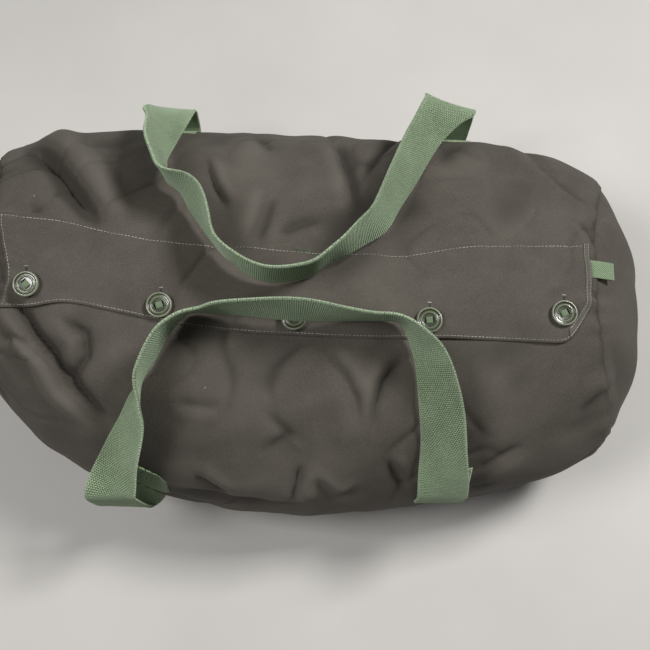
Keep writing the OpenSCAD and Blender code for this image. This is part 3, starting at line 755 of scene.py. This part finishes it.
# ---- flap
FLAP_END = 283.0
SEWN_LINE = ((-300, 45), (-262, 44.5), (-226, 42), (-187, 32), (-155, 27), (-94, 25), (-12, 23.5), (82, 23),
             (104, 25), (133, 31), (161, 37), (205, 40.5), (248, 42.5), (300, 47))
NEAR_EDGE = ((-300, -44), (-264, -47), (-249, -45), (-232, -40.5), (-212, -41), (-179, -47), (-133, -55),
             (-105, -59), (-47, -62), (65, -62), (106, -59), (156, -56), (206, -55), (300, -55))
SEWN_PAST = 3.0  # how far the flap goes on past its sewn line
CUT_X, CUT_SLOPE, CUT_ROUND = 257, 1.45, 4  # cut corner: its start, slope and rounding


def sewn_line(x):
    return curve_through(SEWN_LINE, x)


def near_edge(x):
    """Near edge of the flap, with its cut corner at the right end."""
    corner = CUT_SLOPE * CUT_ROUND * np.log1p(np.exp((x - CUT_X) / CUT_ROUND))
    return curve_through(NEAR_EDGE, x) + corner


def flap_w(x):
    return sewn_line(x) + SEWN_PAST - near_edge(x)


def flap_place(x, v):
    """Place across the bag at share v from the far edge (0) to the near edge (1) of the flap."""
    return mix(sewn_line(x) + SEWN_PAST, near_edge(x), v)


def flap_lift(x, v):
    """How far the flap's upper face stands off the canvas: flat at the far edge, puffed over the mouth and
    waving at its free edge."""
    puff = mix(1.6, FLAP_TOP - 0.4, ramp(0.05, 0.5, v))
    curl = 2.4 * ramp(-214, -250, x) + 1.2 * hill(x, 145, 26) + 1.6 * hill(x, 243, 22)
    wave = 0.5 * np.sin(x / 19 + 0.6) * hill(x, -235, 55) + 0.35 * waves(x, 0 * x, 51, 95, 6)
    return puff + ramp(0.72, 1.0, v) * (wave + curl - 2.2)


def flap_line(x, v, lift=0.15):
    """Path at shares v of the flap, lift over its upper face, and the direction out of it."""
    return on_crown(x, flap_place(x, v), flap_lift(x, v) + lift)


def on_flap(x, y, lift):
    """Point of the flap's upper face over (x, y), lift above it, and the direction out of it."""
    v = (y - sewn_line(x) - SEWN_PAST) / -flap_w(x)
    return on_crown(x, y, flap_lift(x, v) + lift)


def flap_sheet(name, lift, thick, material, v0=0.0, v1=1.0, end=FLAP_END):
    """One layer of the flap: the canvas's own form, lifted, with a thickness and a rim painted paler as a
    highlight.
    """
    x, v = np.meshgrid(np.linspace(-end, end, 250), np.linspace(v0, v1, 44), indexing="ij")
    pts, out = flap_line(x, v, lift)
    # rim: the flap's edges, where the ridge attribute paints a highlight
    rim = np.maximum(slope(end - 2.5, end, np.abs(x)), slope(0.48, 0.5, np.abs(v - 0.5)))
    return slab_piece(name, pts, pts - out * thick, material, uv=stacked(x, flap_place(x, v)),
                      ridge=(0.55 * rim, 0.3 * rim))


def end_line(inset):
    """Line on the flap, inset from its right end: down the end, round the cut corner and along the cut."""
    count, half, cut_inset = 150, 60, 1.76
    x0 = FLAP_END - inset
    cut_x = np.linspace(x0, CUT_X + 1, half)
    cut_y = near_edge(cut_x) + cut_inset * inset
    end_y = np.linspace(sewn_line(x0) + 2.5, cut_y[0], half)[:-1]
    line = stacked(np.append(np.full(half - 1, x0), cut_x), np.append(end_y, cut_y), 0)
    line = smoothed(resample(line, 0.7), 21)
    return resample(line, run_of(line)[-1] / (count - 1))[:count, :2].T


def end_binding():
    """Turned edge along the flap's right end: a low rounded rib between inset lines, painted paler as highlight
    and wear on a ridge.
    """
    profile = ((0.2, 0.0), (0.7, 0.7), (2.2, 0.95), (4.0, 0.95), (5.6, 0.7), (6.2, 0.0))
    grid = np.stack([on_flap(*end_line(inset), up)[0] for inset, up in profile], 1)
    # ridge 0.8 paints the rib paler, as highlight with wear
    return slab_piece("flap_end_binding", grid, grid - [0, 0, 0.4], CANVAS, uv=grid[..., :2], ridge=(0.8, 0.8))


def mouth_end_layers():
    """Folded canvas edges at the right end of the mouth: two low ribs along the bag, with shade painted between
    them and highlight on them.
    """
    x, t = np.meshgrid(np.linspace(277.0, 289.4, 14), np.linspace(0, 1, 40), indexing="ij")
    rib = np.abs(np.sin(2 * np.pi * t)) ** 0.7
    outer = on_crown(x, mix(5.0, -15.0, t), 0.2 + 2.0 * rib)[0]
    # The ridge values paint shade in the grooves and highlight on the ribs
    return slab_piece("mouth_end_layers", outer, outer - [0, 0, 0.5], CANVAS, uv=outer[..., :2],
                      ridge=(1.6 * rib - 1, 0))


# ---- buttons
def spun(angle):
    """Rotation of points in rows, from the first axis to the second."""
    c, s = math.cos(angle), math.sin(angle)
    return np.array([[c, s], [-s, c]])


def button_seat(k, off=0.0):
    """Point of the smooth crown under button k, or off across from it."""
    x, y = button_at(k)
    return plain_top(x / HALF_TOP, y + off)


def seated(points, k):
    """Points about a button's middle, turned, tilted with the crown and set on their seat."""
    rise = button_seat(k, 5)[2] - button_seat(k, -5)[2]
    p = points + [0, 0, BUTTON_D0]
    p[:, :2] = p[:, :2] @ spun(math.radians(BUTTON_TURNS[k]))
    p[:, 1:] = p[:, 1:] @ spun(math.atan2(rise, 10))
    return p + button_seat(k)


def arc_profile(points, cuts=4):
    """Outline with each corner replaced by a small curve."""
    points = np.array(points, float)
    t = np.linspace(0, 1, cuts)[:, None]
    out = [points[:1]]
    for a, p, b in zip(points, points[1:], points[2:]):
        cut = min(0.38, 0.5 * np.linalg.norm(a - p), 0.5 * np.linalg.norm(b - p))
        p0, p2 = p + unit(a - p) * cut, p + unit(b - p) * cut
        out.append((1 - t) ** 2 * p0 + 2 * t * (1 - t) * p + t * t * p2)
    return np.concatenate([*out, points[-1:]])


def button(k):
    """Button: a turned profile with a raised rim, a groove, an inner ring and a dish, and two slots cut."""
    r, top, n = BUTTON_D / 2, BUTTON_T, 72
    prof = arc_profile([
        (0, 0), (r - 1.4, 0), (r, 1.3), (r, top - 1.1), (r - 0.8, top), (r - 1.7, top), (r - 2.3, top - 1.0),
        (r - 3.9, top - 1.3), (r - 4.4, top - 0.75), (r - 5.2, top - 0.75), (r - 5.9, top - 1.5), (0, top - 1.6)])
    radius, height = prof[1:-1, 0], prof[1:-1, 1]
    turn = np.arange(n) * 2 * np.pi / n
    ring = stacked(radius[:, None] * np.cos(turn), radius[:, None] * np.sin(turn), height[:, None])
    pts = np.concatenate([ring.reshape(-1, 3), [[0, 0, prof[0, 1]], [0, 0, prof[-1, 1]]]])
    m, ring = len(radius), np.arange(n)
    low, high = fan(ring, m * n)[:, [1, 0, 2]], fan((m - 1) * n + ring, m * n + 1)
    upper = ramp(1, 2, height)
    # Masks of the painted highlight on the rim and inner ring, and of the painted shade in the grooves
    rim = upper * np.maximum(ramp(r - 1.9, r - 1.2, radius), 0.6 * hill(radius, r - 4.8, 0.7))
    groove = upper * np.maximum(hill(radius, r - 2.7, 0.5), hill(radius, r - 6.0, 0.4))
    values = {key: np.append(np.repeat(v, n), [0, 0]) for key, v in (("rim", rim), ("groove", groove))}
    ob = make(f"button_{k + 1}_disc", seated(pts, k), [*grid_faces(m, n, wrap=True), *low, *high], PLASTIC,
              values=values)
    slot_n, slot_at, slot_w, slot_l = 20, 3.8, 0.95, 3.3
    t = np.arange(slot_n) * 2 * np.pi / slot_n
    for side in (-1, 1):
        slot = stacked(slot_w * np.cos(t) + side * slot_at, slot_l * spow(np.sin(t), 0.6))
        tube = np.concatenate([np.c_[slot, np.full(slot_n, z)] for z in (-2.0, 8.0)])
        caps = [range(slot_n - 1, -1, -1), range(slot_n, 2 * slot_n)]
        tool = make("slot_tool", seated(tube, k), [*grid_faces(2, slot_n, wrap=True), *caps], PLASTIC)
        cut = ob.modifiers.new("slot", "BOOLEAN")
        cut.object, cut.operation, cut.solver = tool, "DIFFERENCE", "EXACT"
        bpy.context.view_layer.objects.active = ob
        bpy.ops.object.modifier_apply(modifier="slot")
        bpy.data.objects.remove(tool)
    ob.data.set_sharp_from_angle(angle=math.radians(38))
    return ob


def button_tape(k):
    """Tape through a button: a crowned square that dips into both slots, and the drawn neck below."""
    u = np.linspace(-1, 1, 22)[:, None]
    v = np.linspace(-1, 1, 12)
    z = BUTTON_T - 1.35 + 0.55 * (1 - u ** 4) - 1.9 * slope(0.8, 1, np.abs(u)) ** 2 - 0.25 * v ** 4
    top = stacked(u * 3.6, v * 3.0, z)
    pts, faces = slab(top, top - [0, 0, 0.8])
    uv = stacked(u * 3.4, v * 2.5).reshape(-1, 2)
    rows, cols = 9, 16
    t = np.linspace(0, 1, rows)[:, None]
    ang = np.arange(cols) * 2 * np.pi / cols
    rad = 1.5 + 1.0 * t ** 3 + 0.6 * (1 - t) ** 4
    neck = stacked(rad * np.cos(ang), rad * np.sin(ang), mix(-BUTTON_D0 + 0.2, -0.2, t))
    ring = len(pts) + np.arange(cols)
    neck_faces = [*grid_faces(rows, cols, wrap=True) + len(pts), ring[::-1], ring + (rows - 1) * cols]
    return make(f"button_{k + 1}_tape", seated(np.concatenate([pts, neck.reshape(-1, 3)]), k),
                [*faces, *neck_faces], TAPE, uv=np.concatenate([uv, uv, stacked(t * 8, ang).reshape(-1, 2)]))


def buttonhole(k):
    """Buttonhole beside a button: a slit drawn as dark sheets of painted shade, between two corded edges, with a
    bar at its end.
    """
    x0, y0 = button_seat(k)[:2]
    name, half_w = f"buttonhole_{k + 1}", 1.25
    run = np.linspace(-1.5, SLIT_LEN - 10.5, 40)
    end_y = y0 + run[-1]
    gx, gy = np.meshgrid(x0 + np.linspace(-0.75, 0.75, 5), y0 + run, indexing="ij")
    # The slit is painted shade: a dark sheet on the flap and one under it
    for tag, lift in (("over", 0.12), ("under", -2.75)):
        face = on_flap(gx, gy, lift)[0]
        yield slab_piece(f"{name}_{tag}", face, face - [0, 0, 0.1], SHADE)
    bend = np.linspace(-1.4, 1.4, 9)
    loop = np.concatenate([
        stacked(x0 - half_w, y0 + run),
        stacked(x0 + half_w * np.sin(bend), end_y + 1.1 * np.cos(bend)),
        stacked(x0 + half_w, y0 + run[::-1])])
    yield stitch_row(f"{name}_edge", *on_flap(*loop.T, 0.2), DARK_THREAD, pitch=0.95, length=1.25, radius=0.5)
    bar = on_flap(np.linspace(x0 - 1.7, x0 + 1.7, 9), np.full(9, end_y + 1.4), 0.3)
    yield stitch_row(f"{name}_bar", *bar, PALE_THREAD, pitch=1.1, length=1.7, radius=0.55)


# ---- handles
def side_point(s, far, z, d):
    """Point d outside the canvas, as it lies under a handle end, at height z on the near or far side."""
    a = side_angle(s, z)
    a = a if far == FAR else np.pi - a
    return skin(s, a) + crown_normal(s, a) * (d - 0.8)


def leg_line(far, lr):
    """Place along and across at which a handle's leg crosses its fold line, and the direction of that line."""
    x, slant = lr * END_X + LEG_SHIFT[far][lr], HINGE_SLANT[far]
    return x, HINGE_Y[far] + x * math.tan(slant), np.array([math.cos(slant), math.sin(slant), 0.0])


# How a sewn handle end lies: slip and slope of its upper edge, as shares of the sewn length, its shift along
# the bag, and the sag, tilt and bulge of the turn below it
FLAT_END = (0.0, 0.0, 0.0, 1.3, 0.0, 0.0)
SLID_ENDS = {(NEAR, LEFT): (0.24, 0.2, 5.0, 2.9, 0.45, 7.0)}


def handle_patch(far, lr):
    """Handle end sewn flat on the side: a grid across the webbing and down to its crease."""
    u, down = np.linspace(-1, 1, 26), np.linspace(0, 1, 26)[:, None]
    slip, tilt, shift = SLID_ENDS.get((far, lr), FLAT_END)[:3]
    top = CREASE_H + SEWN_LEN * (1 - slip - tilt * u) - slip * 26 * ramp(0.7, 1, np.abs(u))
    z = mix(top, CREASE_H - 1.0 - 36 * slip * ramp(-0.2, 0.8, u), down)
    x = lr * END_X + shift + u * WEB_W / 2 + 0 * z
    outer, inner = (side_point(x / HALF_SIDE, far, z, d) for d in (SEW_GAP + WEB_T + 0.4, SEW_GAP))
    outer[..., 0] = inner[..., 0] = x
    thin = np.clip((1 - np.abs(u)) / 0.03, 0.25, 1) ** 0.5
    # Selvedge mask for the painted highlight on the webbing's edges
    rim = slope(0.93, 1, np.abs(u))
    return slab_piece(f"{SIDE_NAME[far]}_patch_{END_NAME[lr]}", mix(inner, outer, thin[:, None]), inner, WEBBING,
                      uv=stacked(z, u * WEB_W / 2), selvedge=(rim, rim))


def handle_turn(far, lr):
    """Webbing from the crease of the sewn end to the middle of the fold link: half a circle outwards and a
    straight run up, shifting sideways to the loose leg."""
    shift, sag, tilt, bulge = SLID_ENDS.get((far, lr), FLAT_END)[2:]
    y0 = side_point(lr * END_X / HALF_SIDE, far, CREASE_H, SEW_GAP + WEB_T / 2 + 0.4)[1]
    x1, y1, wide = leg_line(far, lr)
    r = abs(y1 - y0) / 2
    q = np.linspace(0, np.pi, 60)
    up = np.linspace(0, LINK_MID - CREASE_H, 16)[1:]
    y = np.append(y0 + far * (r - r * np.cos(q) + bulge * np.sin(q) ** 2), y1 + 0 * up)
    z = np.append(CREASE_H - sag * r * np.sin(q), CREASE_H + up)
    x = mix(lr * END_X + shift, x1, np.append(ramp(0, np.pi, q), 1 + 0 * up))
    tilt = tilt * np.append(np.sin(q) ** 2, 0 * up)
    path = resample(stacked(x, y, z, np.gradient(y), np.gradient(z), tilt), 1.0)
    normals = unit(stacked(0, -path[:, 4], path[:, 3]))
    across = unit(wide - path[:, 5:] * [0, 0, 1])
    return ribbon(f"{SIDE_NAME[far]}_turn_{END_NAME[lr]}", path[:, :3], across, normals, WEBBING)


# Route of each handle over the bag: place along as a share of END_X, place across as a share of the half
# width, lift off the crown, and the direction of the webbing's upper edge
NEAR_ROUTE = (
    (-1.067, -0.857, 21.9, 0.74, 0.09, 0.67), (-0.978, -0.737, 8.5, 0.59, -0.2, 0.78),
    (-0.919, -0.6, 11.9, 0.19, 0.49, 0.85), (-0.912, -0.527, 11.3, -0.07, -0.33, 0.94),
    (-0.824, -0.383, 11.5, -0.06, -0.01, 1), (-0.783, -0.335, 10.8, 0.07, -0.11, 0.99),
    (-0.677, -0.268, 15.5, -0.15, -0.46, 0.87), (-0.548, -0.244, 9, -0.02, -0.17, 0.99),
    (-0.37, -0.236, 12.5, -0.01, -0.08, 1), (-0.002, -0.235, 15.5, -0.05, 0.11, 0.99),
    (0.247, -0.238, 11.3, 0.03, -0.06, 1), (0.477, -0.237, 9.7, -0.21, -0.21, 0.95),
    (0.618, -0.237, 11.7, -0.14, -0.21, 0.97), (0.714, -0.292, 9.3, 0.22, -0.15, 0.96),
    (0.82, -0.398, 5.6, 0.46, 0.07, 0.89), (0.898, -0.594, 7.8, 0.73, 0.02, 0.68),
    (0.944, -0.784, 11.8, 0.79, -0.09, 0.61))
FAR_ROUTE = (
    (-1.04, 0.88, 13.0, -0.7, -0.05, 0.7), (-1.002, 0.673, 9.1, -0.27, 0.12, 0.96),
    (-0.981, 0.552, 14.8, -0.21, -0.27, 0.94), (-0.902, 0.407, 15.8, 0.29, -0.52, 0.8),
    (-0.703, 0.306, 13.4, 0.35, 0.08, 0.93), (-0.546, 0.107, 8.9, 0.09, -0.16, 0.98),
    (-0.439, 0.005, 15.2, -0.15, -0.03, 0.99), (-0.216, -0.076, 12.3, 0.01, -0.09, 1),
    (0.054, -0.04, 9.7, -0.01, -0.11, 0.99), (0.168, 0.028, 11.8, 0, -0.22, 0.98),
    (0.252, 0.071, 12.1, -0.02, 0, 1), (0.38, 0.164, 9.6, -0.21, 0.03, 0.98),
    (0.473, 0.232, 8.7, -0.41, -0.02, 0.91), (0.542, 0.357, 9.2, -0.4, -0.05, 0.91),
    (0.637, 0.532, 7.5, -0.5, 0.05, 0.86), (0.75, 0.74, 14, -0.6, -0.03, 0.78),
    (0.87, 0.9, 42, -0.8, -0.1, 0.6), (0.965, 1.0, 76, -0.86, -0.06, 0.5))


def handle(far, route):
    """Loose webbing from one fold link over the bag to the other: a smooth curve through the route, with its
    width turned to each row's direction. The width is square to the path, but leans along it at the right end
    of the far handle, where the webbing folds over."""
    def leg(lr):
        x, y, w = leg_line(far, lr)
        return [(x, y - far * max(up, 0) ** 2 / LEG_BEND, LIFT_Z + up, *(-far * w))
                for up in (LINK_MID - LIFT_Z, -4.0, 0.0, 6.0, 14.0)]

    def over(along, across, lift, *edge):
        x, y, w = along * END_X, across * BAG_W / 2, unit(np.array(edge, float))
        z = plain_top(x / HALF_TOP, y)[2] + lift + WEB_T / 2 + WEB_W / 2 * abs(w[2])
        return (x, y, z, *w)

    rows = np.array([*leg(LEFT), *[over(*row) for row in route], *leg(RIGHT)[::-1]], float)
    path = resample(spline(rows), 0.95)
    middles, wide = smoothed(path[:, :3], 41), smoothed(path[:, 3:], 71)
    along = unit(np.gradient(middles, axis=0))
    square = mix(1.0, 0.35, ramp(0, 60, middles[:, :1])) if far == FAR else 1.0
    across = unit(wide - square * along * (wide * along).sum(-1, keepdims=True))
    # A leaning width is drawn out, so that the webbing keeps its breadth
    across = across / np.linalg.norm(np.cross(across, along), axis=-1, keepdims=True).clip(0.8, 1)
    return ribbon(f"{SIDE_NAME[far]}_strap", middles, across, unit(np.cross(along, across)), WEBBING)


# ---- tab
def pull_tab():
    """Loop of twill tape at the right end of the mouth, folded back on itself."""
    fold_r, base_x, tip_x = 0.85, -9.5, 17.6
    xs = np.linspace(base_x, tip_x, 44)
    low = TAB_Z - 0.7 - math.tan(math.radians(TAB_DROOP)) * np.maximum(xs, 0) * ramp(-1, 5, xs)
    fold = np.linspace(-np.pi / 2, np.pi / 2, 12)[1:-1]
    x = np.concatenate([xs, tip_x + fold_r * np.cos(fold), xs[::-1]])
    z = np.concatenate([low, low[-1] + fold_r + fold_r * np.sin(fold), low[::-1] + 2 * fold_r])
    path = resample(stacked(x + TAB_X, TAB_Y, z), 0.5)
    along = unit(np.gradient(path, axis=0))
    across = np.broadcast_to([0.0, 1.0, 0.0], along.shape)
    return ribbon("tab_loop", path, across, np.cross(along, across), TAB_TAPE, width=TAB_W, thick=1.1,
                  scallop=0.12)


# ---- build
def settle(ob, body, slot, *nodes, bends_to=None, **line):
    """Fixes a piece to its body, or, for a piece meant to bend to another body, only bakes its placement into its
    mesh; hides the nodes it stands for. Its slot is not used.
    """
    if bends_to:
        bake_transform(ob)
    else:
        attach(ob, body)
    if nodes:
        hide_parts(*nodes)


settle(bag_body(), "bag", "canvas", "body_panel")
for side, tag in END_NAME.items():
    settle(bag_end(side), "bag", "canvas", f"end_panel_{tag}")
    settle(end_tape(side), "bag", "binding_tape", f"end_binding_{tag}")
settle(stand_strip(), "bag", "canvas_facing", "button_stand")

HINGE = {"bends_to": "flap", "start": (0, 0.022, 0.244), "end": (0, 0.012, 0.244)}
flap = flap_sheet("flap", 0.0, 1.3, CANVAS)
settle(flap, "bag", "canvas", "flap_sewn_edge", "closure_flap", **HINGE)
facing = flap_sheet("flap_lining", -1.5, 1.1, FACING, v0=0.06, v1=0.992, end=FLAP_END - 1.2)
settle(facing, "bag", "canvas_facing", "flap_facing", **HINGE)

x = np.linspace(-FLAP_END + 1, FLAP_END - 1, 500)
settle(stitch_row("flap_sewn_stitches", *flap_line(x, SEWN_PAST / flap_w(x)), PALE_THREAD), "bag", "canvas")
x = np.linspace(-FLAP_END + 2, FLAP_END - 3, 500)
hem = stitch_row("flap_hem_stitches", *flap_line(x, 1 - 2.6 / flap_w(x)), PALE_THREAD, radius=0.28)
settle(hem, "flap", "canvas")
v = np.linspace(0.03, 0.985, 120)
left_end = stitch_row("flap_end_stitches_left", *flap_line(np.full(120, -FLAP_END + 2.4), v), PALE_THREAD)
right_end = [stitch_row(f"flap_end_stitches_{tag}", *on_flap(*end_line(inset), 0.95), PALE_THREAD, pitch=3.2)
             for tag, inset in (("outer", 1.2), ("inner", 5.0))]
for piece in (left_end, *right_end, end_binding()):
    settle(piece, "bag", "canvas", **HINGE)
settle(mouth_end_layers(), "bag", "canvas")

x = np.linspace(-10, 8, 60)
for tag, down in (("upper", 0.2), ("lower", 2.2)):
    tack = flap_line(x, down / 90 + 0 * x, 0.3)
    settle(stitch_row(f"bar_tack_{tag}", *tack, GREEN_THREAD, pitch=1.5, length=2.4, radius=0.5), "bag", "canvas")

for k in range(5):
    settle(button(k), f"button_{k + 1}", "button_plastic", f"button_{k + 1}")
    settle(button_tape(k), f"button_{k + 1}", "tape", f"button_tape_{k + 1}")
    for piece in buttonhole(k):
        settle(piece, "flap", "canvas")

for far, word in SIDE_NAME.items():
    for lr, tag in END_NAME.items():
        settle(handle_patch(far, lr), "bag", "webbing", f"{word}_handle_end_{tag}")
        settle(handle_turn(far, lr), "bag", "webbing", f"{word}_handle_fold_{tag}", bends_to=f"{word}_fold",
               start=(0, 0, CREASE_H * MM), end=(0, 0, (FOLD_Z + 4) * MM))
for far, route in ((FAR, FAR_ROUTE), (NEAR, NEAR_ROUTE)):
    word = SIDE_NAME[far]
    settle(handle(far, route), f"{word}_fold", "webbing", f"{word}_handle", bends_to=f"{word}_grip",
           start=(0, 0, (LIFT_Z - 4) * MM), end=(0, 0, (LIFT_Z + 4) * MM))

settle(pull_tab(), "bag", "tab_tape", "tab_base", "pull_tab", bends_to="tab",
       start=((TAB_X - 3) * MM, 0, 0), end=((TAB_X + 2) * MM, 0, 0))

# ---- floor, light and camera
f = Finish("pale_floor")
speckle = f.span(f.noise(3.0, 4.0), 0.3, 0.7)
f.surface(f.blend(speckle, srgb(188, 185, 180), srgb(195, 192, 187)), 0.6, Specular_IOR_Level=0.3)
bpy.ops.mesh.primitive_plane_add(size=12, location=(0, 0, 0))
floor = bpy.context.object
floor.name = "floor"
floor.data.materials.append(f.material)

world = bpy.data.worlds.new("studio")
bpy.context.scene.world = world
world.use_nodes = True
sky = world.node_tree.nodes["Background"].inputs
sky["Color"].default_value = (0.95, 0.97, 1.0, 1.0)
sky["Strength"].default_value = 0.12


def softbox(name, place, aim, size, power):
    """Square area light that faces its aim."""
    lamp = bpy.data.lights.new(name, "AREA")
    lamp.shape, lamp.size, lamp.energy = "SQUARE", size, power
    z = unit(np.array(place, float) - aim)
    x = unit(np.cross([0, 1, 0.01], z))
    axes = np.stack([x, np.cross(z, x), z, place], -1)
    add_object(name, lamp).matrix_world = Matrix([*axes.tolist(), (0, 0, 0, 1)])


softbox("key", (1.3, 0.7, 2.1), (0, 0, 0.15), 0.6, 54)
softbox("fill", (-1.2, -0.35, 2.1), (0, 0, 0.15), 0.8, 31)

# Focal length 900 pixels for a picture 650 pixels wide, looking down from the near side
cam = bpy.data.cameras.new("camera")
cam.sensor_width, cam.lens = 36.0, 36.0 * 900 / 650
camera = add_object("camera", cam)
camera.matrix_world = (Matrix.Translation((0.026, -0.318, 1.060)) @ Matrix.Rotation(math.radians(18), 4, "X")
                       @ Matrix.Rotation(math.radians(3.0), 4, "Z"))
bpy.context.scene.camera = camera
bpy.context.scene.view_settings.view_transform = "Standard"

bpy.context.view_layer.update()
